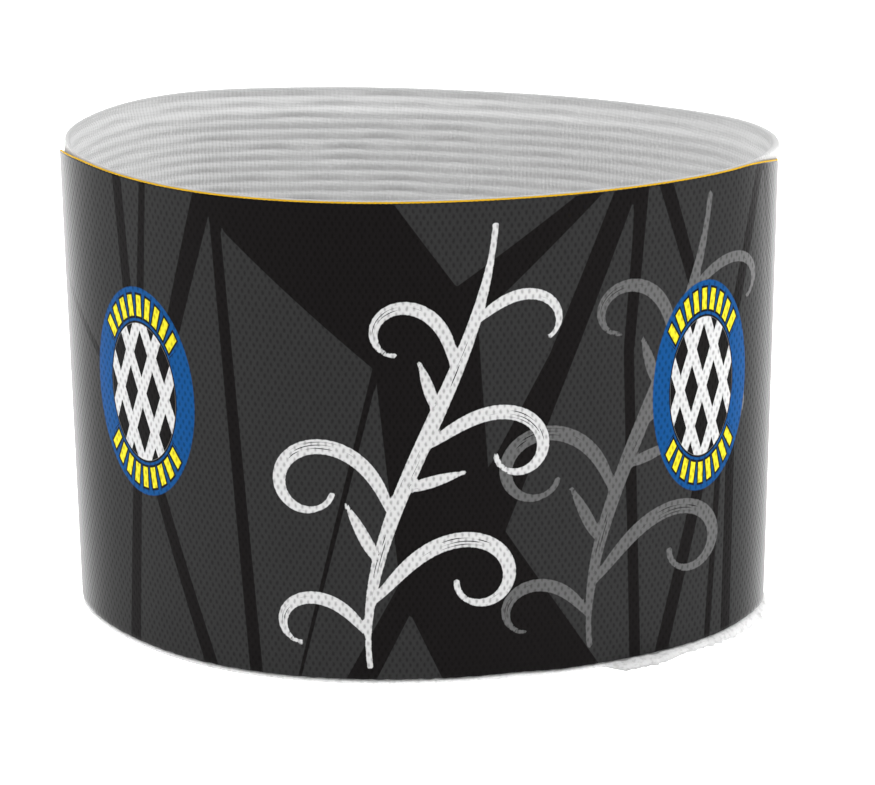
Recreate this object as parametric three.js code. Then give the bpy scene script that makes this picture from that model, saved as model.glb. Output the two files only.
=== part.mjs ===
// A captain's armband standing on its lower edge: an upright loop of ribbed white elastic inside a
// printed cloth cover, with a thin gold cord along the cover's top edge.
// Millimetres. +Z runs up the arm, +X along the long way of the loop and +Y to its back.
// The origin is the middle of the edge that it stands on.

import * as THREE from 'three';

// Size of the loop, outside the cover
const LOOP_LENGTH = 107;
const LOOP_DEPTH = 59;
const ARM_HEIGHT = 75;

// Cloth walls, and the gap kept between two pieces
const COVER_THICKNESS = 1.0;
const LINING_THICKNESS = 1.5;
const CLEARANCE = 0.3;

// Ribs across the inside of the lining: pitch, depth of a groove, and plain band at both edges
const RIB_PITCH = 1.72;
const RIB_DEPTH = 0.35;
const PLAIN_BAND = 0.8;

// Rounding of the lining's rim and lower edge
const EDGE_ROUND = 0.25;

// Bare hem under the print: least height, what the uneven front right adds, and how far it is set in
const HEM_HEIGHT = 0.55;
const HEM_EXTRA = 1.0;
const HEM_INSET = 0.15;

// Gold cord, and how far the rim stands above it in front and, further on, round the ends and back.
// The cord drops between two turns of the cloth, given as the outward direction's share of +Y.
const CORD_WIDTH = 0.4;
const CORD_INSET = 0.08;
const CORD_SIDES = 6;
const RIM_REVEAL = 0.2;
const REVEAL_EXTRA = 1.8;
const DROP_STARTS = -0.6;
const DROP_ENDS = 0.3;

// Plan of the loop, going round from its right end by way of the back. The columns across and deep
// are shares of half the length and half the depth, and hem is a share of HEM_EXTRA.
const STATIONS = [
  { across: 1.0, deep: -0.04, hem: 0.6 },
  { across: 0.94, deep: 0.27, hem: 0.2 },
  { across: 0.74, deep: 0.55, hem: 0 },
  { across: 0.46, deep: 0.77, hem: 0 },
  { across: 0.16, deep: 0.91, hem: 0 },
  { across: -0.15, deep: 0.99, hem: 0 },
  { across: -0.46, deep: 0.99, hem: 0 },
  { across: -0.74, deep: 0.87, hem: 0 },
  { across: -0.91, deep: 0.58, hem: 0 },
  { across: -1.0, deep: 0.2, hem: 0 },
  { across: -0.94, deep: -0.2, hem: 0 },
  { across: -0.78, deep: -0.56, hem: 0 },
  { across: -0.53, deep: -0.85, hem: 0 },
  { across: -0.21, deep: -0.99, hem: 0 },
  { across: 0.12, deep: -0.98, hem: 0 },
  { across: 0.43, deep: -0.87, hem: 0.4 },
  { across: 0.71, deep: -0.67, hem: 0.6 },
  { across: 0.92, deep: -0.39, hem: 1 },
];
const FACETS_PER_STATION = 3;
const AROUND = STATIONS.length * FACETS_PER_STATION;

// Offsets from the outside of the cover, inwards negative
const COVER_INSIDE = -COVER_THICKNESS;
const LINING_OUTSIDE = COVER_INSIDE - CLEARANCE;
const RIB_CREST = LINING_OUTSIDE - LINING_THICKNESS;
const RIB_TROUGH = RIB_CREST + RIB_DEPTH;

/** Points round the plan: outward direction, height of the hem, and top of the cord there. */
function walkLoop() {
  const path = new THREE.CatmullRomCurve3(
    STATIONS.map(({ across, deep, hem }) =>
      new THREE.Vector3(across * LOOP_LENGTH / 2, deep * LOOP_DEPTH / 2, hem * HEM_EXTRA)),
    true,
  );
  const points = Array.from({ length: AROUND }, (_, i) => path.getPoint(i / AROUND));
  const middle = new THREE.Box3().setFromPoints(points).getCenter(new THREE.Vector3());
  return points.map((point, i) => {
    const tangent = path.getTangent(i / AROUND);
    const outward = new THREE.Vector2(tangent.y, -tangent.x).normalize();
    const drop = THREE.MathUtils.smoothstep(outward.y, DROP_STARTS, DROP_ENDS);
    return {
      place: new THREE.Vector2(point.x - middle.x, point.y - middle.y),
      outward,
      hem: HEM_HEIGHT + Math.max(0, point.z),
      cordTop: ARM_HEIGHT - RIM_REVEAL - REVEAL_EXTRA * drop,
    };
  });
}

const LOOP = walkLoop();

/**
 * Carry a closed section round the loop. section(point) gives its corners as [offset, height], up
 * the outside and down the inside. A lathed ring gives the faces, and its corners then move to the
 * plan.
 */
function carryRound(section) {
  const corners = section(LOOP[0]);
  const outline = [...corners, corners[0]];
  const ring = new THREE.LatheGeometry(
    outline.map(([offset, height]) => new THREE.Vector2(LOOP_LENGTH / 2 + offset, height)),
    AROUND,
  );
  const position = ring.getAttribute('position');
  for (let i = 0; i <= AROUND; i += 1) {
    const { place, outward } = LOOP[i % AROUND];
    const here = section(LOOP[i % AROUND]);
    outline.forEach((_, j) => {
      const [offset, height] = here[j % here.length];
      position.setXYZ(
        i * outline.length + j,
        place.x + outward.x * offset,
        place.y + outward.y * offset,
        height,
      );
    });
  }
  ring.computeVertexNormals();
  return ring;
}

/** Ribbed inner face of the lining from the rim down, in and out by turns. */
function ribCorners() {
  const span = ARM_HEIGHT - 2 * PLAIN_BAND;
  const steps = 2 * Math.round(span / RIB_PITCH);
  return Array.from({ length: steps + 1 }, (_, i) => [
    i % 2 === 0 ? RIB_TROUGH : RIB_CREST,
    ARM_HEIGHT - PLAIN_BAND - (span * i) / steps,
  ]);
}

/** White elastic: hem under the cover, plain outer face, rounded rim and ribbed inner face. */
function liningSection({ hem }) {
  return [
    [-HEM_INSET, 0],
    [-HEM_INSET, hem],
    [LINING_OUTSIDE, hem],
    [LINING_OUTSIDE, ARM_HEIGHT - EDGE_ROUND],
    [LINING_OUTSIDE - EDGE_ROUND, ARM_HEIGHT],
    [RIB_CREST + EDGE_ROUND, ARM_HEIGHT],
    [RIB_CREST, ARM_HEIGHT - EDGE_ROUND],
    ...ribCorners(),
    [RIB_CREST, EDGE_ROUND],
    [RIB_CREST + EDGE_ROUND, 0],
  ];
}

/** Printed cloth, from just above the hem to just below the cord. */
function coverSection({ hem, cordTop }) {
  const foot = hem + CLEARANCE;
  const top = cordTop - CORD_WIDTH - CLEARANCE;
  return [
    [0, foot],
    [0, top],
    [COVER_INSIDE, top],
    [COVER_INSIDE, foot],
  ];
}

/** Round section of the gold cord, over the cover's outer edge. */
function cordSection({ cordTop }) {
  const radius = CORD_WIDTH / 2;
  const middle = cordTop - radius;
  return Array.from({ length: CORD_SIDES }, (_, i) => {
    const turn = (2 * Math.PI * (i + 0.5)) / CORD_SIDES;
    return [-CORD_INSET - radius + radius * Math.cos(turn), middle + radius * Math.sin(turn)];
  });
}

const elastic = new THREE.MeshStandardMaterial({ color: 0xc6c6c8, roughness: 0.85, metalness: 0 });
const meshCloth = new THREE.MeshStandardMaterial({ color: 0x323233, roughness: 0.75, metalness: 0 });
const goldThread = new THREE.MeshStandardMaterial({ color: 0xb39127, roughness: 0.5, metalness: 0.3 });

/** One named piece. */
function piece(name, section, material) {
  const mesh = new THREE.Mesh(carryRound(section), material);
  mesh.name = name;
  return mesh;
}

const armband = new THREE.Group();
armband.add(
  piece('elastic_lining', liningSection, elastic),
  piece('printed_cover', coverSection, meshCloth),
  piece('gold_edging', cordSection, goldThread),
);

export default armband;
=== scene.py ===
"""A captain's armband standing on its lower edge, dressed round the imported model.

Lengths are millimetres until a mesh is written, and the frame's metres from there on. Every new
piece is a surface carried round one plan curve, which comes from the frame's cover. Its UV map is in
millimetres: u is the way round the loop from the middle of the front, v the height on the cloth.
"""

import logging
import math
from collections.abc import Callable
from dataclasses import dataclass, field
from enum import Enum

import bpy
import numpy as np
from mathutils import Euler, Matrix, Vector
from mathutils.geometry import convex_hull_2d


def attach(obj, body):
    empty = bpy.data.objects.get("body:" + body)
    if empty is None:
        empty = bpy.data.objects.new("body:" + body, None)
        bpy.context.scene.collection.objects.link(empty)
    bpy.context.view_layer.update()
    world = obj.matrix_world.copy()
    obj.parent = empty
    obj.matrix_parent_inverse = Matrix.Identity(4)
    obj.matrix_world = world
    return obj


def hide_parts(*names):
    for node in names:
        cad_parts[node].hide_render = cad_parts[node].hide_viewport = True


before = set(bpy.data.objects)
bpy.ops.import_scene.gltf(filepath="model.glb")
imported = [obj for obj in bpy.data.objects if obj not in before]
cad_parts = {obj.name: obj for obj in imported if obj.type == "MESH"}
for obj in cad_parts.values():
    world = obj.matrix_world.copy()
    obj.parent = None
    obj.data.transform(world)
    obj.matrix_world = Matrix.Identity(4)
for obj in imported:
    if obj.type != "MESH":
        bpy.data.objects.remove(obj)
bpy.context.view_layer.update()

MM = 0.001
TAU = 2 * math.pi
Array = np.ndarray
Object = bpy.types.Object
Pair = tuple[float, float]
Triple = tuple[float, float, float]

log = logging.getLogger("armband")


def linear(red: int, green: int, blue: int) -> tuple[float, float, float, float]:
    """Linear colour of a screen colour given as three numbers from 0 to 255."""
    share = np.array([red, green, blue]) / 255
    low = share / 12.92
    high = ((share + 0.055) / 1.055) ** 2.4
    return (*np.where(share <= 0.04045, low, high).tolist(), 1.0)


def ease(x: Array, start: float, stop: float) -> Array:
    """Smooth step from 0 at start to 1 at stop: t squared times three minus two t."""
    t = np.clip((x - start) / (stop - start), 0, 1)
    return t * t * (3 - 2 * t)


def wander(place: Array, length: float, waves: int, seed: int) -> Array:
    """Soft noise that closes on itself.

    Args:
        place: positions along a closed line.
        length: the line's whole length.
        waves: most waves that fit into the length.
        seed: seed of the random draw.

    Returns:
        Values of about -1 to 1: a sum of cosines of 1 to waves turns, each with a random phase.
    """
    draw = np.random.default_rng(seed)
    turns = draw.integers(max(1, waves // 3), waves + 1, 9)
    phases = draw.uniform(0, TAU, 9)
    return sum(np.cos(TAU * n * place / length + p) for n, p in zip(turns, phases)) / 4


@dataclass(frozen=True)
class Stretch:
    """Part of the way round the loop, in which something grows and fades again.

    Attributes:
        size: how much it is where it is fullest.
        grows: where it starts to grow and where it is full, as arc lengths from the front.
        fades: where it starts to fade and where it has gone.
    """

    size: float
    grows: Pair
    fades: Pair

    def at(self, across: Array) -> Array:
        """How much it is there: the size times a smooth step up and a smooth step down."""
        return self.size * ease(across, *self.grows) * (1 - ease(across, *self.fades))


class Held(Enum):
    """How a sheet of cloth is held."""

    STRETCHED = "stretched"


class Slot(Enum):
    """The record's material slots."""

    ELASTIC = "elastic"
    PRINTED_MESH = "printed_mesh"
    GOLD_THREAD = "gold_thread"


@dataclass
class Loop:
    """The plan of the armband: a closed curve on the outside of the cover.

    Attributes:
        harmonics: how many turns the plan's Fourier series has.
        samples: how finely its arc length is worked out.
        sag: how much lower the cover's foot hangs at the front right.
        dips: how much lower its top edge lies at both ends.
        corners: the cover's outer corners, to the right from the middle of the front.
        feet: height of its lower edge at each corner.
        tops: height of its upper edge at each corner.
        series: the series' factors, a row for each column of waves.
        length: the way round.
    """

    harmonics: int = 9
    samples: int = 4000
    sag: Stretch = Stretch(0.45, (12, 22), (46, 58))
    dips: tuple[Stretch, ...] = (
        Stretch(1.5, (50, 64), (78, 98)),
        Stretch(0.45, (-56, -67), (-78, -98)),
        Stretch(1.5, (-65, -74), (-78, -98)),
    )
    corners: Array = field(init=False)
    feet: Array = field(init=False)
    tops: Array = field(init=False)
    series: Array = field(init=False)
    length: float = field(init=False)

    def __post_init__(self) -> None:
        """Read the cover's outer corners, and fit the series to them."""
        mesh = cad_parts["printed_cover"].data
        points = np.empty(3 * len(mesh.vertices), np.float32)
        mesh.vertices.foreach_get("co", points)
        points = points.reshape(-1, 3).astype(float) / MM
        plan = np.unique(points[:, :2].round(3), axis=0)
        ring = plan[convex_hull_2d([Vector(p) for p in plan])]
        area = np.sum(ring[:, 0] * np.roll(ring[:, 1], -1) - ring[:, 1] * np.roll(ring[:, 0], -1))
        if area < 0:
            ring = ring[::-1]
        front = np.where(ring[:, 1] < 0)[0]
        self.corners = np.roll(ring, -front[np.abs(ring[front, 0]).argmin()], axis=0)
        near = np.linalg.norm(points[None, :, :2] - self.corners[:, None], axis=2) < 0.01
        self.feet = np.array([points[row, 2].min() for row in near])
        self.tops = np.array([points[row, 2].max() for row in near])
        self._fit()

    def _fit(self) -> None:
        """Fit the series by least squares, and tabulate its arc length.

        x and y are each a constant plus cosines and sines of 1 to harmonics turns.
        """
        chord = np.linalg.norm(np.roll(self.corners, -1, 0) - self.corners, axis=1)
        turn = np.concatenate([[0], np.cumsum(chord)[:-1]]) / chord.sum()
        self.series = np.linalg.lstsq(self._waves(turn), self.corners, rcond=None)[0]
        fine = np.linspace(0, 1, self.samples + 1)
        path = self._waves(fine) @ self.series
        steps = np.linalg.norm(np.diff(path, axis=0), axis=1)
        arc = np.concatenate([[0], np.cumsum(steps)])
        middle = np.interp(0, path[: self.samples // 8, 0], arc[: self.samples // 8])
        self._fine, self._arc, self._middle = fine, arc, middle
        self.length = float(arc[-1])
        self._corner_arc = np.interp(turn, fine, arc)

    def _waves(self, turn: Array, slope: bool = False) -> Array:
        """The series' columns at shares of a turn, or their slopes."""
        n = np.arange(1, self.harmonics + 1)
        angle = TAU * turn[:, None] * n
        if slope:
            return np.hstack([np.zeros((len(turn), 1)), -n * np.sin(angle), n * np.cos(angle)])
        return np.hstack([np.ones((len(turn), 1)), np.cos(angle), np.sin(angle)])

    def _turn(self, across: Array) -> Array:
        """Share of a turn at an arc length from the middle of the front."""
        return np.interp((across + self._middle) % self.length, self._arc, self._fine)

    def foot(self, across: Array) -> Array:
        """Height of the cover's lower edge there, which sags a little at the front right."""
        return self._between(across, self.feet) - self.sag.at(across)

    def top(self, across: Array) -> Array:
        """Height of the cover's upper edge there, which dips a little at both ends."""
        return self._between(across, self.tops) - sum(dip.at(across) for dip in self.dips)

    def columns(self, count: int) -> Array:
        """Arc lengths of so many columns, evenly round the loop from the middle of the back."""
        return self.length * (np.arange(count) / count - 0.5)

    def _between(self, across: Array, heights: Array) -> Array:
        """Heights between the cover's corners: cubic pieces, with one slope where two meet.

        Args:
            across: arc lengths from the middle of the front.
            heights: a height for each corner.

        Returns:
            Catmull-Rom sums of the four nearest corners' heights.
        """
        place = (across + self._middle) % self.length
        count = len(heights)
        turn = np.interp(place, np.append(self._corner_arc, self.length), np.arange(count + 1.0))
        i = np.floor(turn).astype(int) % count
        t = turn - np.floor(turn)
        a, b, c, d = (heights[(i + k) % count] for k in (-1, 0, 1, 2))
        bend = 2 * a - 5 * b + 4 * c - d
        return b + t * (c - a + t * (bend + t * (3 * (b - c) + d - a))) / 2

    def place(self, across: Array, offset: Array, height: Array) -> Array:
        """Points beside the plan curve: the curve's point plus its outward normal times offset.

        Args:
            across: arc lengths from the middle of the front, to the right as seen from outside.
            offset: distances out from the curve.
            height: heights.

        Returns:
            The points, with the three arguments broadcast together.
        """
        across, offset, height = np.broadcast_arrays(across, offset, height)
        turn = self._turn(across.ravel())
        point = self._waves(turn) @ self.series
        slope = self._waves(turn, slope=True) @ self.series
        slope /= np.linalg.norm(slope, axis=1)[:, None]
        normal = np.stack([slope[:, 1], -slope[:, 0]], axis=1)
        flat = point + normal * offset.ravel()[:, None]
        return np.column_stack([flat, height.ravel()]).reshape(*across.shape, 3)


def write_mesh(name: str, points: Array, faces: Array) -> Object:
    """Put arrays into a new smooth mesh object.

    Args:
        name: the piece's name.
        points: vertices in millimetres.
        faces: four vertex numbers a row.

    Returns:
        The object, linked to the scene at the origin.
    """
    mesh = bpy.data.meshes.new(name)
    mesh.vertices.add(len(points))
    mesh.vertices.foreach_set("co", (points * MM).astype(np.float32).ravel())
    mesh.loops.add(faces.size)
    mesh.loops.foreach_set("vertex_index", faces.astype(np.int32).ravel())
    mesh.polygons.add(len(faces))
    mesh.polygons.foreach_set("loop_start", np.arange(0, faces.size, 4, dtype=np.int32))
    mesh.polygons.foreach_set("use_smooth", np.ones(len(faces), bool))
    mesh.update(calc_edges=True)
    mesh.validate()
    piece = bpy.data.objects.new(name, mesh)
    bpy.context.collection.objects.link(piece)
    return piece


def wrap_grid(name: str, loop: Loop, grid: Array, v: Array) -> Object:
    """Make a closed tube of a grid whose rows and columns both close on themselves.

    Args:
        name: the piece's name.
        loop: the plan that it goes round.
        grid: points, rows up the outside and down the inside, in the loop's columns.
        v: way up the cloth in millimetres, with one row more than grid, and one column or one
            more than grid.

    Returns:
        The object, with its UV map named cloth.
    """
    rows, columns = grid.shape[:2]
    u = np.append(loop.columns(columns), loop.length / 2)
    cloth = np.stack(np.broadcast_arrays(u[None], v), axis=-1)
    r, c = (a.ravel() for a in np.mgrid[0:rows, 0:columns])
    r_up, c_on = r + 1, c + 1
    corners = [(r, c), (r, c_on), (r_up, c_on), (r_up, c)]
    faces = np.stack([(a % rows) * columns + b % columns for a, b in corners], axis=1)
    piece = write_mesh(name, grid.reshape(-1, 3), faces)
    layer = piece.data.uv_layers.new(name="cloth")
    uv = np.stack([cloth[a, b] for a, b in corners], axis=1)
    layer.data.foreach_set("uv", uv.astype(np.float32).ravel())
    return piece


def add_vector(piece: Object, name: str, values: Array) -> None:
    """Store a vector at each vertex of a piece, as an attribute of that name."""
    layer = piece.data.attributes.new(name, "FLOAT_VECTOR", "POINT")
    layer.data.foreach_set("vector", values.astype(np.float32).ravel())


def tubes(name: str, paths: Array, radii: Array, sides: int) -> Object:
    """Many short closed tubes in one mesh.

    Args:
        name: the piece's name.
        paths: points of each tube's middle line, as tube, step, axis.
        radii: radius at each step of each tube, almost nothing at an end that closes.
        sides: sides of each tube.

    Returns:
        The object. A ring's corner is the path's point plus the radius times the cosine of its turn
        along one normal and the sine along the other.
    """
    count, steps = radii.shape
    along = np.gradient(paths, axis=1)
    along /= np.linalg.norm(along, axis=2)[..., None]
    guide = np.where(np.abs(along[..., 2:]) < 0.9, [[[0.0, 0.0, 1.0]]], [[[1.0, 0.0, 0.0]]])
    side = np.cross(along, guide)
    side /= np.linalg.norm(side, axis=2)[..., None]
    lift = np.cross(side, along)
    turn = TAU * np.arange(sides) / sides
    ring = side[:, :, None] * np.cos(turn)[:, None] + lift[:, :, None] * np.sin(turn)[:, None]
    points = paths[:, :, None] + ring * radii[:, :, None, None]
    t, s, k = (a.ravel() for a in np.mgrid[0:count, 0 : steps - 1, 0:sides])
    k_on = (k + 1) % sides
    base = (t * steps + s) * sides
    faces = np.stack([base + k, base + sides + k, base + sides + k_on, base + k_on], axis=1)
    return write_mesh(name, points.reshape(-1, 3), faces)


def math_method(operation: str) -> "Callable[..., Signal]":
    """Make a method of Signal that adds one Math node of an operation."""

    def method(self: "Signal", *others: "Signal | float") -> "Signal":
        """Add the node, which takes this socket first."""
        return self.sheet.node("ShaderNodeMath", {"operation": operation}, [self, *others])

    return method


class Signal:
    """A shader socket that takes part in sums: each operator and each method adds one node.

    part() is the fractional part, and bearing() the angle whose tangent is this over the other.
    """

    __add__ = __radd__ = math_method("ADD")
    __mul__ = __rmul__ = math_method("MULTIPLY")
    __sub__ = math_method("SUBTRACT")
    __truediv__ = math_method("DIVIDE")
    __abs__ = math_method("ABSOLUTE")
    floor = math_method("FLOOR")
    part = math_method("FRACT")
    modulo = math_method("FLOORED_MODULO")
    root = math_method("SQRT")
    sine = math_method("SINE")
    least = math_method("MINIMUM")
    most = math_method("MAXIMUM")
    bearing = math_method("ARCTAN2")

    def __init__(self, sheet: "Shader", socket: bpy.types.NodeSocket) -> None:
        """Wrap an output socket of a shader's node."""
        self.sheet = sheet
        self.socket = socket

    def __rsub__(self, other: float) -> "Signal":
        """Difference from a number."""
        return self.sheet.node("ShaderNodeMath", {"operation": "SUBTRACT"}, [other, self])

    def rise(self, start: float, stop: float) -> "Signal":
        """Smooth step from 0 at start to 1 at stop."""
        settings = {"interpolation_type": "SMOOTHSTEP", "clamp": True}
        return self.sheet.node("ShaderNodeMapRange", settings, [self, start, stop, 0.0, 1.0])


class Shader:
    """One material and its nodes."""

    def __init__(self, name: str) -> None:
        """Start an empty material with one shader and its output."""
        self.material = bpy.data.materials.new(name)
        self.material.use_nodes = True
        self.tree = self.material.node_tree
        self.tree.nodes.clear()
        self.shader = self.tree.nodes.new("ShaderNodeBsdfPrincipled")
        output = self.tree.nodes.new("ShaderNodeOutputMaterial")
        self.tree.links.new(self.shader.outputs[0], output.inputs[0])

    def node(
        self,
        kind: str,
        settings: dict[str, object],
        inputs: "list[Signal | object] | dict[str, Signal | object]",
        out: int | str = 0,
    ) -> Signal:
        """Add any node.

        Args:
            kind: the node's type.
            settings: its properties, set first.
            inputs: values or links of its sockets, by order or by name.
            out: which output is wanted.

        Returns:
            The wanted output.
        """
        made = self.tree.nodes.new(kind)
        for key, value in settings.items():
            setattr(made, key, value)
        pairs = inputs.items() if isinstance(inputs, dict) else enumerate(inputs)
        for key, value in pairs:
            self._feed(made.inputs[key], value)
        return Signal(self, made.outputs[out])

    def _feed(self, socket: bpy.types.NodeSocket, value: "Signal | object") -> None:
        """Link a signal to a socket, or set the socket's own value."""
        if isinstance(value, Signal):
            self.tree.links.new(value.socket, socket)
        else:
            socket.default_value = value

    def set(self, **sockets: "Signal | object") -> None:
        """Set the shader's own sockets: an underscore in a name stands for a space."""
        for name, value in sockets.items():
            self._feed(self.shader.inputs[name.replace("_", " ")], value)

    def split(self, vector: Signal) -> tuple[Signal, Signal, Signal]:
        """The three parts of a vector."""
        parts = self.node("ShaderNodeSeparateXYZ", {}, [vector]).socket.node.outputs
        return tuple(Signal(self, socket) for socket in parts)

    def cloth(self) -> tuple[Signal, Signal]:
        """u and v on the cloth, in millimetres."""
        return self.split(self.node("ShaderNodeUVMap", {"uv_map": "cloth"}, []))[:2]

    def stored(self, name: str) -> tuple[Signal, Signal, Signal]:
        """The three parts of a piece's own attribute."""
        settings = {"attribute_name": name}
        return self.split(self.node("ShaderNodeAttribute", settings, [], "Vector"))

    def spot(self, x: "Signal | float", y: "Signal | float", z: "Signal | float" = 0.0) -> Signal:
        """A vector of three numbers."""
        return self.node("ShaderNodeCombineXYZ", {}, [x, y, z])

    def noise(self, vector: Signal, scale: float, detail: float = 2.0) -> Signal:
        """Soft noise from 0 to 1 at a place."""
        inputs = {"Vector": vector, "Scale": scale, "Detail": detail, "Roughness": 0.55}
        return self.node("ShaderNodeTexNoise", {"noise_dimensions": "3D"}, inputs)

    def mix(self, under: object, over: object, share: "Signal | float") -> Signal:
        """One colour laid over another by a share."""
        settings = {"data_type": "RGBA", "clamp_factor": True}
        made = self.node("ShaderNodeMix", settings, {0: share}, 2)
        self._feed(made.socket.node.inputs[6], under)
        self._feed(made.socket.node.inputs[7], over)
        return made

    def shade(self, colour: object, share: "Signal | float") -> Signal:
        """A colour times a grey number."""
        grey = self.spot(share, share, share)
        tint = colour if isinstance(colour, Signal) else colour[:3]
        return self.node("ShaderNodeVectorMath", {"operation": "MULTIPLY"}, [tint, grey])

    def bump(self, height: Signal, distance: float, strength: float = 1.0) -> Signal:
        """A normal from a height of 0 to 1 that stands for a distance in millimetres."""
        inputs = {"Strength": strength, "Distance": distance * MM, "Height": height}
        return self.node("ShaderNodeBump", {}, inputs)


@dataclass(frozen=True)
class Mesh:
    """Open holes of the knitted cover cloth, in staggered rows.

    Attributes:
        pitch: from hole to hole along a row.
        row: from row to row.
        hole: half width and half height of a hole.
    """

    pitch: float = 1.03
    row: float = 0.9
    hole: Pair = (0.2, 0.38)

    def holes(self, sheet: Shader, u: Signal, v: Signal) -> Signal:
        """1 in a hole and 0 between them: a soft ellipse in each cell, rows shifted by turns."""
        jitter = sheet.noise(sheet.spot(u, v), 0.9) - 0.5
        line = v / self.row + jitter * 0.3
        along = u / self.pitch + line.floor().modulo(2.0) * 0.5 + jitter * 0.36
        x = (along.part() - 0.5) * (self.pitch / self.hole[0])
        y = (line.part() - 0.5) * (self.row / self.hole[1])
        return 1 - (x * x + y * y).root().rise(0.2, 1.55)


@dataclass(frozen=True)
class Band:
    """A straight black band of the print.

    Attributes:
        foot: where its middle meets the cloth's lower edge.
        head: where its middle meets the upper edge.
        foot_width: its width below.
        head_width: its width above.
        low: height at which it starts.
        high: height at which it ends.
    """

    foot: float
    head: float
    foot_width: float
    head_width: float
    low: float = -9.0
    high: float = 99.0

    def inside(self, u: Array, v: Array, tall: float) -> Array:
        """Distance inside the band's edge: half its width less the distance from its middle line."""
        t = v / tall
        lean = math.hypot(1, (self.head - self.foot) / tall)
        width = self.foot_width + (self.head_width - self.foot_width) * t
        beside = (width / 2 - np.abs(u - self.foot - (self.head - self.foot) * t)) / lean
        return np.min([beside, v - self.low, self.high - v], axis=0)


@dataclass(frozen=True)
class Stroke:
    """One pull of a dry brush along a line that bends more and more, in millimetres on the cloth.

    Attributes:
        start: where the brush is set down.
        heading: its first direction, in degrees from +u towards +v.
        length: how far it goes.
        bend: degrees turned in a millimetre at the start and at the end, to the left positive.
        width: width where it is widest.
        fullest: share of the way at which it is widest.
    """

    start: Pair
    heading: float
    length: float
    bend: Pair = (0.0, 0.0)
    width: float = 2.0
    fullest: float = 0.4

    def line(self, t: Array) -> Array:
        """Points at shares t of the way: the sum of steps whose heading's bend grows evenly."""
        first, last = self.bend
        turned = self.length * (first * t + (last - first) * t * t / 2)
        angle = np.radians(self.heading + turned)
        steps = np.stack([np.cos(angle), np.sin(angle)], axis=1)
        middle = (steps[1:] + steps[:-1]) / 2 * np.diff(t)[:, None] * self.length
        return np.array(self.start) + np.vstack([np.zeros(2), np.cumsum(middle, axis=0)])

    def draw(self, u: Array, v: Array) -> Array:
        """How each point lies in the stroke.

        The half width at t is a power of a sine that is 1 at fullest.

        Args:
            u: points' places round the loop.
            v: points' heights.

        Returns:
            Depth inside the stroke's edge in millimetres, place across it in half widths, and way
            along it in millimetres, for each point.
        """
        t = np.linspace(0, 1, int(self.length / 0.4) + 8)
        line = self.line(t)
        along = np.gradient(line, axis=0)
        along /= np.linalg.norm(along, axis=1)[:, None]
        warp = t ** (math.log(0.5) / math.log(self.fullest))
        half = self.width / 2 * np.maximum(np.sin(math.pi * warp), 0.2) ** 0.6
        apart = np.stack([u, v], axis=-1)[:, None] - line
        depth = half - np.linalg.norm(apart, axis=-1)
        best = depth.argmax(axis=1)
        pick = np.take_along_axis(apart, best[:, None, None], axis=1)[:, 0]
        across = (pick[:, 1] * along[best, 0] - pick[:, 0] * along[best, 1]) / half[best]
        return np.stack([depth.max(axis=1), across, t[best] * self.length], axis=-1)


@dataclass(frozen=True)
class Shoot:
    """A stroke that leaves a stem.

    Attributes:
        at: share of the stem at which it leaves.
        turn: degrees that it turns off there, to the left positive.
        length: how far it goes.
        bend: degrees turned in a millimetre at its start and at its end.
        width: width where it is widest.
    """

    at: float
    turn: float
    length: float
    bend: Pair
    width: float

    def grow(self, stem: Stroke) -> Stroke:
        """The stroke, started on the stem's line with the stem's heading there plus the turn."""
        way = np.linspace(0, self.at, 60)
        first, last = stem.bend
        heading = stem.heading + stem.length * (first + (last - first) * self.at / 2) * self.at
        return Stroke(tuple(stem.line(way)[-1]), heading + self.turn, self.length, self.bend, self.width)


@dataclass(frozen=True)
class Flourish:
    """A brushed ornament: a leaning stem, with curls and small leaves on both sides.

    Attributes:
        stem: the stroke up the middle.
        shoots: what leaves it.
        room: most that any stroke reaches to the side.
    """

    stem: Stroke = Stroke((-8.0, 3.0), 96.0, 71.0, (-1.5, 1.2), 2.3, 0.5)
    shoots: tuple[Shoot, ...] = (
        Shoot(0.07, 34, 22, (1.0, 20.0), 2.0),
        Shoot(0.14, -36, 40, (1.6, -17.5), 2.4),
        Shoot(0.34, 34, 37, (1.2, 16.5), 2.3),
        Shoot(0.50, -34, 33, (1.6, -19.5), 2.2),
        Shoot(0.68, 28, 25, (1.0, 20.0), 2.0),
        Shoot(0.79, -30, 19, (0.0, -20.0), 1.7),
        Shoot(0.24, 46, 10, (-2.4, 2.0), 1.8),
        Shoot(0.41, -58, 9, (2.4, -2.0), 1.8),
        Shoot(0.59, 46, 8, (-2.4, 2.0), 1.7),
    )
    room: float = 26.0

    def draw(self, u: Array, v: Array) -> Array:
        """The nearest stroke's depth, place across and way along, for each point of a grid."""
        best = np.full((*u.shape, 3), -9.0)
        near = (np.abs(u) < self.room) & (v < 80)
        kept = best[near]
        for stroke in [self.stem, *(shoot.grow(self.stem) for shoot in self.shoots)]:
            drawn = stroke.draw(u[near], v[near])
            over = drawn[:, 0] > kept[:, 0]
            kept[over] = drawn[over]
        best[near] = kept
        return best


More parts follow.
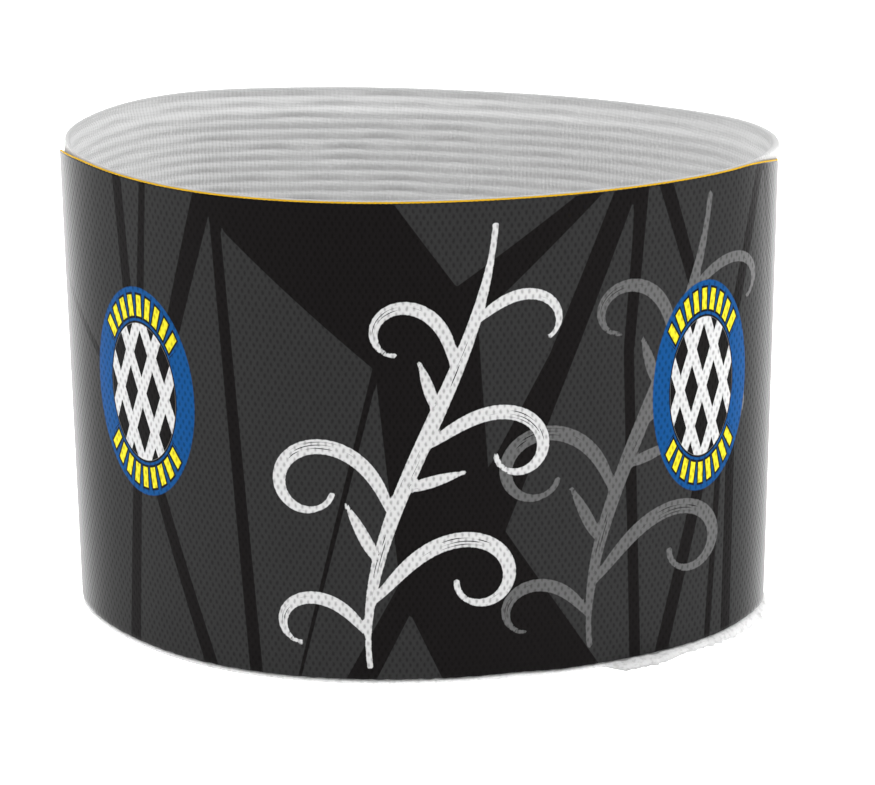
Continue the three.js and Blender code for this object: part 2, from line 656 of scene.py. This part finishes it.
@dataclass(frozen=True)
class Roundel:
    """A round badge of the print, narrowed as the cloth is stretched.

    Attributes:
        across: its middle, round the loop.
        height: its middle, above the lower edge.
        half_width: half its width.
        half_height: half its height.
    """

    across: float
    height: float
    half_width: float
    half_height: float

    def paint(self, sheet: Shader, u: Signal, v: Signal, ground: Signal, ink: "Inks") -> Signal:
        """Lay the badge over a colour.

        r is the distance from the middle as a share of the badge, and the bearing runs clockwise from
        the top. A blue disc carries two arcs of yellow bars with black outlines, and a white disc with
        black lozenges.
        """
        x = (u - self.across) / self.half_width
        y = (v - self.height) / self.half_height
        r = (x * x + y * y).root()
        turn = x.bearing(y)
        colour = sheet.mix(ground, ink.blue, 1 - r.rise(0.99, 1.005))
        bars = turn * (1 / ink.bar_turn) + 0.5
        off = abs(bars.part() - 0.5) * ink.bar_turn * r
        long = ink.bar_half_length - abs(r - ink.bar_radius)
        arc = abs(abs(turn) - math.pi / 2) - ink.bar_gap
        bar = long.least(ink.bar_half_width - off).least(arc)
        colour = sheet.mix(colour, ink.black, bar.rise(-0.028, -0.016))
        colour = sheet.mix(colour, ink.yellow, bar.rise(-0.004, 0.006))
        colour = sheet.mix(colour, ink.black, 1 - r.rise(0.672, 0.684))
        disc = 1 - r.rise(0.652, 0.662)
        colour = sheet.mix(colour, ink.white, disc)
        slant = x * ink.lozenges
        rise = y * (ink.lozenges * 0.62)
        one = abs((slant + rise).part() - 0.5)
        two = abs((slant - rise).part() - 0.5)
        return sheet.mix(colour, ink.black, (1 - one.most(two).rise(0.3, 0.315)) * disc)


@dataclass(frozen=True)
class Inks:
    """Colours and small sizes of the print. The bars' sizes are shares of a badge."""

    charcoal: tuple = linear(39, 39, 39)
    black: tuple = linear(13, 11, 11)
    white: tuple = linear(179, 179, 179)
    ghost: tuple = linear(91, 91, 91)
    blue: tuple = linear(8, 62, 113)
    yellow: tuple = linear(196, 186, 35)
    bar_turn: float = math.radians(12)
    bar_radius: float = 0.825
    bar_half_length: float = 0.1
    bar_half_width: float = 0.048
    bar_gap: float = math.radians(36)
    lozenges: float = 2.2


@dataclass(frozen=True)
class Facet:
    """A flat-sided patch of the print, with its corners on the cloth."""

    corners: tuple[Pair, ...]

    def inside(self, u: Array, v: Array) -> Array:
        """Distance to the nearest side, negative outside: a crossing of a side to the right flips it."""
        ends = np.array(self.corners)
        far = np.full(u.shape, 1e3)
        within = np.zeros(u.shape, bool)
        for (u0, v0), (u1, v1) in zip(ends, np.roll(ends, -1, axis=0)):
            du, dv = u1 - u0, v1 - v0
            t = np.clip(((u - u0) * du + (v - v0) * dv) / (du * du + dv * dv), 0, 1)
            far = np.minimum(far, np.hypot(u - u0 - t * du, v - v0 - t * dv))
            if dv:
                level = (v0 > v) != (v1 > v)
                within ^= level & (u < u0 + du * (v - v0) / dv)
        return np.where(within, far, -far)


CROSSING = Facet(((-33, 77), (-28, 69), (-7, 50), (-19, 0), (29, 0), (32, 77)))
CLEARINGS = (
    Facet(((-5.5, 77), (5, 62), (26, 77))),
    Facet(((29, 77), (8, 57), (9.5, 34), (18.5, 51))),
    Facet(((12, 24), (31, 73), (30, 30), (31, 0), (27, 0))),
    Facet(((-6.5, 48), (-3.5, 16.5), (-12, 0), (-18.5, 0))),
    Facet(((-2, 11.5), (-7.5, 0), (3, 0))),
)
BANDS = (
    Band(-124, -131, 3.0, 2.0),
    Band(-98, -117, 2.2, 4.5),
    Band(-104, -92, 6.0, 1.8),
    Band(-79, -88, 1.8, 2.2),
    Band(-1.2, -85.9, 2.0, 2.0, low=42),
    Band(-47.7, -42.1, 2.3, 1.2),
    Band(-41.5, -47.4, 1.5, 1.9, low=40),
    Band(-32.4, -56.0, 2.3, 1.6, high=40),
    Band(-52.5, -31.5, 1.0, 3.4, low=40),
    Band(-25.2, -29.9, 2.0, 1.6),
    Band(26.8, 32.3, 1.0, 2.0, low=50),
    Band(32.4, 29.6, 1.8, 1.5, high=50.2),
    Band(36.6, 53.8, 2.3, 1.7),
    Band(60.0, 36.2, 1.0, 2.3, low=40),
    Band(45.0, 48.6, 1.1, 1.1, high=40),
    Band(48.8, 48.6, 1.9, 1.4, high=40),
    Band(66.0, 55.5, 4.6, 1.6),
    Band(62.0, 74.0, 1.6, 2.4),
    Band(86.0, 78.0, 2.2, 3.8),
    Band(84.0, 101.0, 5.0, 1.8),
    Band(107.0, 98.0, 1.8, 2.6),
    Band(117.0, 124.0, 3.8, 1.8),
)


@dataclass(frozen=True)
class PrintFinish:
    """The cover's look: charcoal mesh cloth with its print.

    Attributes:
        mesh: the cloth's holes.
        inks: the print's colours.
        roundels: the two badges.
        ghost_share: how strongly the grey copy of the flourish shows.
    """

    mesh: Mesh = Mesh()
    inks: Inks = Inks()
    roundels: tuple[Roundel, ...] = (
        Roundel(-43.8, 42.0, 9.8, 16.3),
        Roundel(43.0, 42.4, 8.5, 16.5),
    )
    ghost_share: float = 0.8

    def _brushed(self, sheet: Shader, name: str) -> Signal:
        """Paint of a stored flourish, from 0 to 1.

        The edge of each stroke is a little ragged, and dry streaks run along it where noise, drawn
        out along the stroke, is high.
        """
        depth, across, way = sheet.stored(name)
        ragged = sheet.noise(sheet.spot(across * 2.0, way * 1.6), 1.0, 2.0) - 0.5
        streak = sheet.noise(sheet.spot(across * 3.4, way * 0.09, 4.0), 1.0, 2.0)
        dry = sheet.noise(sheet.spot(way * 0.07, 9.0), 1.0, 1.0)
        missed = (streak + dry * 0.5).rise(0.89, 0.92) * depth.rise(0.25, 0.5)
        return (depth + ragged * 0.16).rise(-0.06, 0.06) * (1 - missed)

    def material(self) -> bpy.types.Material:
        """Build the material."""
        sheet = Shader("printed_mesh_cloth")
        u, v = sheet.cloth()
        black, _, _ = sheet.stored("black")
        holes = self.mesh.holes(sheet, u, v)
        colour = sheet.mix(self.inks.charcoal, self.inks.black, black.rise(-0.05, 0.05))
        colour = sheet.mix(colour, self.inks.ghost, self._brushed(sheet, "ghost") * self.ghost_share)
        for roundel in self.roundels:
            colour = roundel.paint(sheet, u, v, colour, self.inks)
        colour = sheet.mix(colour, self.inks.white, self._brushed(sheet, "brushed"))
        cloud = sheet.noise(sheet.spot(u, v), 0.09, 3.0)
        fibre = sheet.noise(sheet.spot(u * 3.0, v * 1.2), 1.6, 3.0)
        lump = sheet.noise(sheet.spot(u, v, 3.0), 1.1)
        tone = 0.85 + cloud * 0.06 + fibre * 0.1 + lump * 0.16
        colour = sheet.shade(colour, tone * (1 - holes * 0.42))
        thread = (u * (TAU / 0.515) + (v * (TAU / 0.9)).sine() * 0.9).sine() * 0.5 + 0.5
        relief = (1 - holes) * 0.75 + thread * 0.12 + fibre * 0.13
        sheet.set(
            Base_Color=colour,
            Roughness=0.75 + holes * 0.15,
            Normal=sheet.bump(relief, 0.08, 0.25),
            Sheen_Weight=0.5,
            Sheen_Roughness=0.31,
            Specular_IOR_Level=0.04,
        )
        return sheet.material


@dataclass(frozen=True)
class ElasticFinish:
    """The lining's look: white knitted elastic.

    Attributes:
        white: its colour.
        wale: from one column of knitting to the next.
        hem: way up the cloth to where the open hem ends.
        rim: ways up the cloth between which its bare outer edge and rim lie, where its colour is
            darkened as painted shade.
    """

    white: tuple = linear(215, 215, 215)
    wale: float = 0.62
    hem: float = 4.2
    rim: Pair = (76.0, 80.0)

    def material(self) -> bpy.types.Material:
        """Build the material: columns of stitches, a tone that wanders, and painted shade that darkens
        the rim.
        """
        sheet = Shader("white_elastic")
        u, v = sheet.cloth()
        sway = sheet.noise(sheet.spot(u * 0.3, v * 0.3), 1.0) - 0.5
        wale = ((u / self.wale + sway * 0.9) * TAU).sine() * 0.5 + 0.5
        loop = ((v / 0.43 + u * 0.2) * TAU).sine() * 0.5 + 0.5
        fuzz = sheet.noise(sheet.spot(u * 2.4, v * 3.2), 1.0, 4.0)
        cloud = sheet.noise(sheet.spot(u * 0.16, v * 0.5), 1.0, 3.0)
        tone = 0.9 + wale * 0.03 + fuzz * 0.05 + (cloud - 0.5) * 0.14
        above = v.rise(self.hem, self.hem + 0.5)
        where = sheet.node("ShaderNodeTexCoord", {}, [], "Object")
        dots = sheet.noise(where, 1500.0, 1.0).rise(0.5, 0.68)
        tone = tone - dots * (1 - above) * 0.16
        # Painted shade: the bare outer edge and rim are darkened by about a quarter, standing in for
        # less light there.
        start, stop = self.rim
        tone = tone * (1 - v.rise(start - 0.4, start) * (1 - v.rise(stop - 0.3, stop)) * 0.24)
        sheet.set(
            Base_Color=sheet.shade(self.white, tone),
            Roughness=0.86 + fuzz * 0.1,
            Normal=sheet.bump((wale * 0.5 + loop * 0.2) * above + fuzz * 0.3, 0.14, 0.7),
            Sheen_Weight=0.1,
            Sheen_Roughness=0.6,
            Specular_IOR_Level=0.15,
        )
        return sheet.material


@dataclass(frozen=True)
class ThreadFinish:
    """A thread's look.

    Attributes:
        name: the material's name.
        colour: its colour.
        metal: how metallic it is.
        rough: how rough it is.
        sheen: how strongly its fibres catch light from the side.
    """

    name: str
    colour: tuple
    metal: float = 0.0
    rough: float = 0.6
    sheen: float = 0.0

    def material(self) -> bpy.types.Material:
        """Build the material: fine fibres that change the tone along the thread."""
        sheet = Shader(self.name)
        where = sheet.node("ShaderNodeTexCoord", {}, [], "Object")
        fibre = sheet.noise(where, 2600.0, 3.0)
        sheet.set(
            Base_Color=sheet.shade(self.colour, 0.8 + fibre * 0.4),
            Roughness=self.rough + fibre * 0.15,
            Normal=sheet.bump(fibre, 0.05, 0.5),
            Metallic=self.metal,
            Sheen_Weight=self.sheen,
            Sheen_Roughness=0.3,
            Specular_IOR_Level=0.15,
        )
        return sheet.material


@dataclass
class Lining:
    """The white ribbed elastic.

    Attributes:
        loop: the plan.
        tall: height of the rim.
        face: offset of its plain outer face.
        swell: how far the bare rim stands out from that, where the cover ends lower.
        flare: what its outside stands out more at the right end.
        draw_in: what the whole bare rim stands further in at the left end.
        frayed: where the hem is open and frayed.
        splay: how far it reaches out over the floor there.
        crest: offset of a rib's crest.
        pinch: how much thinner it is at the rim than at the ribs.
        rib: from rib to rib.
        groove: depth between two ribs.
        plain: height of the plain band under the rim.
        lift: height of the rim's rounding.
        rows: rows of faces for each rib.
        around: faces round the loop.
    """

    loop: Loop
    tall: float = 75.0
    face: float = -0.66
    swell: float = 0.3
    flare: Stretch = Stretch(0.45, (57, 64), (72, 90))
    draw_in: Stretch = Stretch(0.5, (-52, -60), (-76, -92))
    frayed: Stretch = Stretch(1.0, (27, 30), (66, 74))
    splay: float = 2.4
    crest: float = -2.1
    pinch: float = 0.95
    rib: float = 1.72
    groove: float = 0.34
    plain: float = 0.6
    lift: float = 0.55
    rows: int = 4
    around: int = 480

    def _hem(self, across: Array, hem: Array) -> tuple[Array, Array]:
        """Offsets and heights from the inside of the foot out to the cover: a rolled, frayed hem."""
        frayed = self.frayed.at(across)
        ragged = wander(across, self.loop.length, 120, 3) * (0.03 + 0.16 * frayed)
        bulge = frayed * (self.splay - 1.3 * ease(across, 35, 41) - 0.5 * ease(across, 50, 60))
        torn = bulge + frayed * 0.3 * wander(across, self.loop.length, 200, 5)
        zero = 0 * across
        offset = [self.crest + 0.3 + zero, zero - 1.2, torn - 0.3, torn - 0.12, bulge / 3 - 0.1]
        height = [zero, zero, zero, 0.14 * hem, 0.75 * hem]
        return np.array([*offset, zero - 0.4]), np.array([*height, hem + ragged])

    def _lip(self, across: Array) -> tuple[Array, Array, Array]:
        """How bare the rim is, from 0 to 1, and the offsets of its outside and its inside."""
        bare = ease(self.loop.tops.max() - self.loop.top(across), 0.1, 1.2)
        left = self.draw_in.at(across) * bare
        out = self.face + (self.swell + self.flare.at(across)) * bare - left
        return bare, out, self.crest + self.pinch - left

    def _rim(self, across: Array, hem: Array) -> tuple[Array, Array]:
        """Offsets and heights up the outer face and over the rim, which is half an ellipse and a
        little lower where the cord is high."""
        top = self.loop.top(across)
        bare, out, within = self._lip(across)
        zero = 0 * across
        offset = [zero + self.face, zero + self.face, zero + self.face, (self.face + out) / 2, out]
        height = [hem + 0.1, 0.5 * top, top, top + 0.75 * bare, top + 0.2 + bare]
        turn = np.linspace(0, math.pi, 9)[:, None]
        over = within + (out - within) / 2 * (1 + np.cos(turn))
        tall = self.tall - 0.3 * (1 - bare)
        above = tall - self.lift * (1 - np.sin(turn))
        fold = np.minimum(height, tall - self.lift - 0.02)
        return np.vstack([np.array(offset), over]), np.vstack([fold, above])

    def _ribs(self, across: Array) -> tuple[Array, Array]:
        """Offsets and heights down the ribs: a groove's depth falls as a power of a sine, and each
        rib wanders a little in height and depth on its way round."""
        top, foot = self.tall - self.plain - self.lift, 0.55
        ribs = round((top - foot) / self.rib)
        step = np.arange(ribs * self.rows + 1)
        swell = np.abs(np.sin(math.pi * step / self.rows)) ** 0.9
        sway = np.array([wander(across, self.loop.length, 26, 40 + i) for i in range(ribs + 1)])
        own = sway[np.minimum((step + self.rows // 2) // self.rows, ribs)]
        inner = ((step > 0) & (step < step[-1]))[:, None]
        depth = self.groove * (1 - swell)[:, None] * (1 + 0.45 * own)
        height = np.linspace(top, foot, len(step))[:, None] + 0.13 * own * inner
        thinner = (self._lip(across)[2] - self.crest) * (1 - ease(top - height, -0.5, 3.5))
        return self.crest + depth + thinner, height

    def build(self) -> Object:
        """Carry the section round the loop: hem, outer face, rim and ribs."""
        across = self.loop.columns(self.around)
        hem = self.loop.foot(across) - 0.3
        parts = [self._hem(across, hem), self._rim(across, hem), self._ribs(across)]
        offset = np.vstack([part[0] for part in parts])
        height = np.vstack([part[1] for part in parts])
        grid = self.loop.place(across, offset, height)
        ahead = [np.roll(a, -1, axis=0).mean(1) - a.mean(1) for a in (offset, height)]
        v = np.concatenate([[0], np.cumsum(np.hypot(*ahead))])
        piece = wrap_grid("elastic_lining_cloth", self.loop, grid, v[:, None])
        hem_rows = len(parts[0][0])
        # Ways up the cloth of the bare outer edge and rim, where the elastic's colour is darkened as
        # painted shade.
        rim = (float(v[hem_rows + 2]), float(v[hem_rows + 13]))
        piece.data.materials.append(ElasticFinish(rim=rim).material())
        return piece


@dataclass
class Cover:
    """The printed mesh cloth.

    Attributes:
        loop: the plan.
        thick: the cloth's thickness.
        rise: how far it reaches above the node's edge, to the cord.
        around: faces round the loop.
        up: rows of faces up its outer face.
        ghost_shift: how far the grey copy of the flourish lies to the right, and up.
    """

    loop: Loop
    thick: float = 0.5
    rise: float = 0.4
    around: int = 616
    up: int = 112
    ghost_shift: Pair = (33.0, 1.0)

    def build(self) -> Object:
        """Carry the section round the loop: outer face, round top edge, inner face, round foot.

        The outer face swells by less than a tenth of a millimetre where the cloth isn't tight.
        """
        across = self.loop.columns(self.around)
        foot = self.loop.foot(across) - 0.08 + 0.04 * wander(across, self.loop.length, 140, 8)
        top = self.loop.top(across) + self.rise
        edge = self.thick / 2
        low, high = foot + 0.12, top - edge
        share = np.linspace(0, 1, self.up + 1)[:, None]
        slack = wander(across, self.loop.length, 14, 2) * np.sin(math.pi * share) * 0.07
        turn = np.linspace(0, math.pi, 7)[1:, None]
        inner = np.linspace(1, 0, 8)[1:, None]
        zero = 0 * across
        offset = np.vstack([
            slack - 0.04 * np.cos(math.pi * share) ** 8,
            edge * (np.cos(turn) - 1) + zero,
            inner * 0 - self.thick + zero,
            [zero + 0.12 - self.thick, zero - 0.12],
        ])
        height = np.vstack([
            low + (high - low) * share,
            high + edge * np.sin(turn),
            low + (high - low) * inner,
            [foot, foot],
        ])
        grid = self.loop.place(across, offset, height)
        past = self.up + 1
        v = height.copy()
        v[past:] = top + np.linspace(0.1, 74, len(v) - past)[:, None]
        v = np.vstack([v, v[-1:] + 1])
        v = np.hstack([v, v[:, :1]])
        piece = wrap_grid("printed_cover_cloth", self.loop, grid, v)
        where_u, where_v = np.broadcast_arrays(across[None], v[:-1, :-1])
        self._store_print(piece, where_u, where_v)
        piece.data.materials.append(PrintFinish().material())
        return piece

    def _store_print(self, piece: Object, u: Array, v: Array) -> None:
        """Keep how deep each vertex lies inside the black, the flourish and its grey copy."""
        tall = self.loop.tops.max()
        black = CROSSING.inside(u, v)
        for clearing in CLEARINGS:
            black = np.minimum(black, -clearing.inside(u, v))
        black = np.max([black, *(band.inside(u, v, tall) for band in BANDS)], axis=0)
        add_vector(piece, "black", np.stack([black, black, black], -1))
        flourish = Flourish()
        add_vector(piece, "brushed", flourish.draw(u, v))
        right, up = self.ghost_shift
        add_vector(piece, "ghost", flourish.draw(u - right, v - up))


@dataclass
class GoldCord:
    """The gold cord along the cover's top edge, of two strands twisted together.

    Attributes:
        loop: the plan.
        above: height of its middle over the node that the cover replaces.
        inset: how far its outside lies behind the cover's.
        radius: radius of the cord where it is thickest.
        lay: length of one full twist.
        around: faces round the loop.
        sides: faces round the cord.
    """

    loop: Loop
    above: float = 0.5
    inset: float = 0.06
    radius: float = 0.14
    lay: float = 1.5
    around: int = 2400
    sides: int = 10

    def build(self) -> Object:
        """Carry a two-lobed section round the loop, turning it once in each lay.

        The section's radius is the cord's, less a share of one minus the cosine of twice the bearing
        from the strands.
        """
        across = self.loop.columns(self.around)
        twists = round(self.loop.length / self.lay)
        bearing = TAU * np.arange(self.sides)[:, None] / self.sides
        spin = TAU * twists * across / self.loop.length
        reach = self.radius * (1 - 0.13 * (1 - np.cos(2 * (bearing - spin))))
        offset = -self.inset - self.radius + reach * np.cos(bearing)
        height = self.loop.top(across) + self.above + reach * np.sin(bearing)
        grid = self.loop.place(across, offset, height)
        v = np.arange(self.sides + 1)[:, None] * self.radius
        piece = wrap_grid("gold_edging_cord", self.loop, grid, v)
        finish = ThreadFinish("gold_thread", linear(194, 152, 16), 0.0, 0.5)
        piece.data.materials.append(finish.material())
        return piece


@dataclass
class BackSeam:
    """Two rows of stitches down the middle of the back, where the cover's ends meet.

    Attributes:
        loop: the plan.
        apart: distance between the rows.
        stitch: length of a stitch.
        gap: from the end of one stitch to the next.
        radius: radius of the thread.
        arch: how high a stitch's middle lies over the cloth.
        lowest: height of the first stitch.
    """

    loop: Loop
    apart: float = 4.2
    stitch: float = 2.1
    gap: float = 0.55
    radius: float = 0.13
    arch: float = 0.12
    lowest: float = 2.4

    def build(self) -> Object:
        """Lay each stitch as a low arch on the cloth: its height off the cloth is a half sine."""
        pitch = self.stitch + self.gap
        count = int((self.loop.tops.min() - 4) / pitch)
        low = self.lowest + pitch * np.arange(count)
        way = np.linspace(0, 1, 9)
        height = (low[:, None] + self.stitch * way)[None].repeat(2, 0).reshape(-1, 9)
        row = np.repeat([-self.apart / 2, self.apart / 2], count)[:, None]
        back = self.loop.length / 2
        lift = self.arch * np.sin(math.pi * way)
        paths = self.loop.place(back + row + 0 * way, lift[None] + 0 * row, height)
        full = self.radius * np.clip(np.sin(math.pi * way) * 3, 0.02, 1)
        piece = tubes("back_seam_stitches", paths, np.tile(full, (2 * count, 1)), 8)
        finish = ThreadFinish("dark_thread", linear(24, 24, 25), sheen=0.5)
        piece.data.materials.append(finish.material())
        return piece


@dataclass
class LooseFibres:
    """Short fibres that stand out of the hem, most of them at the frayed front right.

    Attributes:
        loop: the plan.
        count: how many.
        longest: length of the longest.
        radius: radius of a fibre.
        frayed: between which arc lengths most of them lie.
        share: share of them that lie there.
    """

    loop: Loop
    count: int = 150
    longest: float = 0.6
    radius: float = 0.045
    frayed: Pair = (22.0, 66.0)
    share: float = 0.7

    def build(self) -> Object:
        """Bend each fibre out and down: its way along the cloth and out of it grow as its share t,
        and its height falls with t squared."""
        draw = np.random.default_rng(11)
        most = int(self.count * self.share)
        half = self.loop.length / 2
        across = np.concatenate([
            draw.uniform(*self.frayed, most),
            draw.uniform(-half, half, self.count - most),
        ])[:, None]
        right = across > 20
        size = self.longest * np.where(right, draw.uniform(0.25, 1.0, (self.count, 1)), 0.4)
        way = np.linspace(0, 1, 6)[None]
        lean = draw.uniform(-0.8, 0.8, (self.count, 1))
        hem = self.loop.foot(across.ravel())[:, None] - 0.3
        start = hem * draw.uniform(0.2, 1.0, (self.count, 1))
        out = 0.35 * right - 0.15
        offset = out + size * way * draw.uniform(0.15, 0.6, (self.count, 1))
        height = np.maximum(start + size * (0.25 * way - 0.45 * way**2), 0.03)
        paths = self.loop.place(across + size * lean * way, offset, height)
        radii = self.radius * np.clip(np.ones((self.count, 1)) * (1.05 - way), 0.1, 1)
        piece = tubes("hem_fibres", paths, radii, 4)
        piece.data.materials.append(ThreadFinish("white_fibre", linear(208, 208, 208)).material())
        return piece


@dataclass(frozen=True)
class Lamp:
    """A soft oblong lamp.

    Attributes:
        name: its name.
        spot: where it stands.
        size: its width and height.
        power: in watts.
        rear: whether it stands behind, where it lights the dark pieces and the floor alone.
    """

    name: str
    spot: Triple
    size: Pair
    power: float
    rear: bool = False

    def build(self, height: float) -> Object:
        """Make the lamp, turned to a height over the origin."""
        data = bpy.data.lights.new(self.name, "AREA")
        data.shape = "RECTANGLE"
        data.size, data.size_y = (side * MM for side in self.size)
        data.energy = self.power
        light = bpy.data.objects.new(self.name, data)
        place = Vector(self.spot) * MM
        light.location = place
        ahead = Vector((0, 0, height * MM)) - place
        light.rotation_euler = ahead.to_track_quat("-Z", "Y").to_euler()
        bpy.context.collection.objects.link(light)
        return light


@dataclass
class Studio:
    """Floor, lights and camera.

    Attributes:
        dark_pieces: what the rear lamps shine on, beside the floor.
        elevation: the camera's angle above the floor, in degrees.
        distance: from the point that it looks at.
        aim: that point.
        focal: focal length, on film 36 mm wide.
        roll: how far the camera is turned about its view, in degrees.
        floor: half the floor's width.
        glow: light that the floor gives off, so that it stays white round the armband.
        sky: strength of the even light from all round.
        facing: height that the lamps are turned to.
        lamps: the lamps.
    """

    dark_pieces: list[Object]
    elevation: float = 21.31
    distance: float = 481.0
    aim: Triple = (2.79, 0.0, 34.77)
    focal: float = 129.8
    roll: float = -0.4
    floor: float = 6000.0
    glow: float = 0.5
    sky: float = 0.88
    facing: float = 37.0
    lamps: tuple[Lamp, ...] = (
        Lamp("key", (-260, -520, 620), (420, 420), 0.3),
        Lamp("left", (-420, -60, 420), (200, 200), 1.0),
        Lamp("right", (420, -60, 420), (200, 200), 1.5),
        Lamp("left_rear", (-300, 320, 42), (120, 60), 2.9, rear=True),
        Lamp("right_rear", (350, 290, 42), (150, 60), 4.2, rear=True),
    )

    def build(self) -> None:
        """Make all three."""
        self._camera()
        lit_from_behind = bpy.data.collections.new("lit_from_behind")
        for piece in [self._floor(), *self.dark_pieces]:
            lit_from_behind.objects.link(piece)
        self._world()
        for lamp in self.lamps:
            light = lamp.build(self.facing)
            if lamp.rear:
                light.light_linking.receiver_collection = lit_from_behind

    def _camera(self) -> None:
        """Stand the camera at the front."""
        lift = math.radians(self.elevation)
        aim = Vector(self.aim) * MM
        back = Vector((0, -math.cos(lift), math.sin(lift)))
        data = bpy.data.cameras.new("camera")
        data.lens = self.focal
        data.sensor_width = 36.0
        camera = bpy.data.objects.new("camera", data)
        turn = Euler((math.pi / 2 - lift, 0, 0)).to_matrix() @ Matrix.Rotation(
            math.radians(self.roll), 3, "Z"
        )
        camera.matrix_world = Matrix.Translation(aim + back * self.distance * MM) @ turn.to_4x4()
        bpy.context.collection.objects.link(camera)
        bpy.context.scene.camera = camera

    def _floor(self) -> Object:
        """A plain pale floor."""
        corners = np.array([[-1, -1, 0], [1, -1, 0], [1, 1, 0], [-1, 1, 0]]) * self.floor
        floor = write_mesh("floor", corners, np.array([[0, 1, 2, 3]]))
        sheet = Shader("pale_floor")
        sheet.set(
            Base_Color=linear(250, 250, 250),
            Roughness=0.9,
            Specular_IOR_Level=0.1,
            Emission_Color=(1, 1, 1, 1),
            Emission_Strength=self.glow,
        )
        floor.data.materials.append(sheet.material)
        return floor

    def _world(self) -> None:
        """Even white light from all round."""
        world = bpy.data.worlds.new("studio")
        world.use_nodes = True
        background = world.node_tree.nodes["Background"]
        background.inputs["Color"].default_value = (1, 1, 1, 1)
        background.inputs["Strength"].default_value = self.sky
        bpy.context.scene.world = world
        bpy.context.scene.view_settings.view_transform = "Standard"


def settle(piece: Object, slot: Slot, *nodes: str) -> Object:
    """Ride a piece on the armband, and let it stand for nodes.

    Args:
        piece: the piece.
        slot: the material slot that it takes its finish from; not used.
        nodes: the nodes that it replaces.

    Returns:
        The piece.
    """
    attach(piece, "root")
    if nodes:
        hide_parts(*nodes)
    piece.data.calc_loop_triangles()
    log.info("%s: %d triangles", piece.name, len(piece.data.loop_triangles))
    return piece


def main() -> None:
    logging.basicConfig(level=logging.INFO, format="%(message)s")
    loop = Loop()
    log.info("loop: %.1f mm round", loop.length)
    lining = settle(Lining(loop).build(), Slot.ELASTIC, "elastic_lining")
    cover = settle(Cover(loop).build(), Slot.PRINTED_MESH, "printed_cover")
    cord = settle(GoldCord(loop).build(), Slot.GOLD_THREAD, "gold_edging")
    seam = settle(BackSeam(loop).build(), Slot.PRINTED_MESH)
    fibres = settle(LooseFibres(loop).build(), Slot.ELASTIC)
    Studio([cover, seam]).build()


if __name__ == "__main__":
    main()
